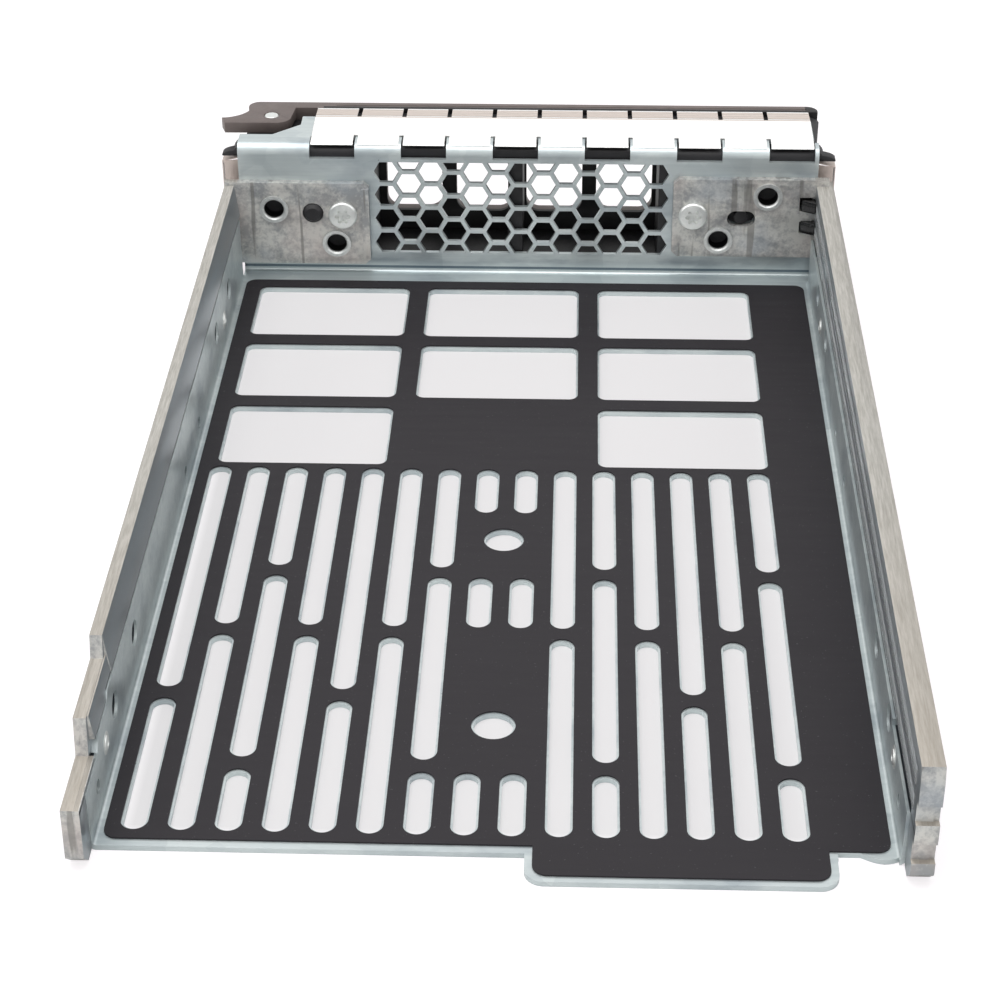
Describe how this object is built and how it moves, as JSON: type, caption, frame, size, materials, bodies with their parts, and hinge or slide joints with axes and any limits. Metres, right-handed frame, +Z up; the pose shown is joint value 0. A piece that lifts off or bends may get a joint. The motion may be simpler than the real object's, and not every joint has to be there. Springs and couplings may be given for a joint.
{
  "type": "hot swap drive caddy",
  "caption": "Open steel tray with cast side rails, slotted floor, mesh front wall, pivoting grille handle and sliding release button for a 3.5 inch drive.",
  "frame": {"origin": "middle of the caddy's bounding box, on the flat underside of the tray", "axes": "+X to the side that carries the handle's pivot, +Y from the front to the rear, +Z up"},
  "size_m": [0.1114, 0.1824, 0.0264],
  "materials": {
    "galvanised_sheet": "zinc coated, satin",
    "die_cast": "die-cast, matt with milled edges",
    "film_charcoal": "smooth insulating film",
    "fastener_steel": "plated, bright",
    "bezel_black": "fine textured black moulding",
    "handle_grey": "fine textured warm grey moulding",
    "button_plastic": "fine textured dark moulding",
    "spring_steel": "drawn wire",
    "spring_strip": "bright stainless spring sheet",
    "clear_pipe": "clear polished plastic"
  },
  "bodies": {
    "caddy": {"tray": "galvanised_sheet", "insulator_film": "film_charcoal", "left_rail": "die_cast", "right_rail": "die_cast", "left_rail_rivets": "fastener_steel", "right_rail_rivets": "fastener_steel", "wall_collars": "fastener_steel", "bezel_screws": "fastener_steel", "bezel": "bezel_black", "pivot_pin": "fastener_steel", "handle_spring": "spring_steel", "button_spring": "spring_steel", "upper_light_pipe": "clear_pipe", "lower_light_pipe": "clear_pipe", "top_emi_strip": "spring_strip", "left_emi_spring": "spring_strip", "right_emi_spring": "spring_strip"},
    "handle": {"handle": "handle_grey"},
    "release_button": {"release_button": "button_plastic"}
  },
  "joints": [
    {"name": "handle_pivot", "type": "hinge", "parent": "caddy", "child": "handle", "pos_m": [0.0467, -0.0853, 0.013], "axis": [0, 0, 1], "range_deg": [0, 38]},
    {"name": "button_slide", "type": "slide", "parent": "caddy", "child": "release_button", "axis": [-1, 0, 0], "range_m": [0, 0.002], "stiffness_N_per_m": 300, "springref_m": -0.001}
  ]
}
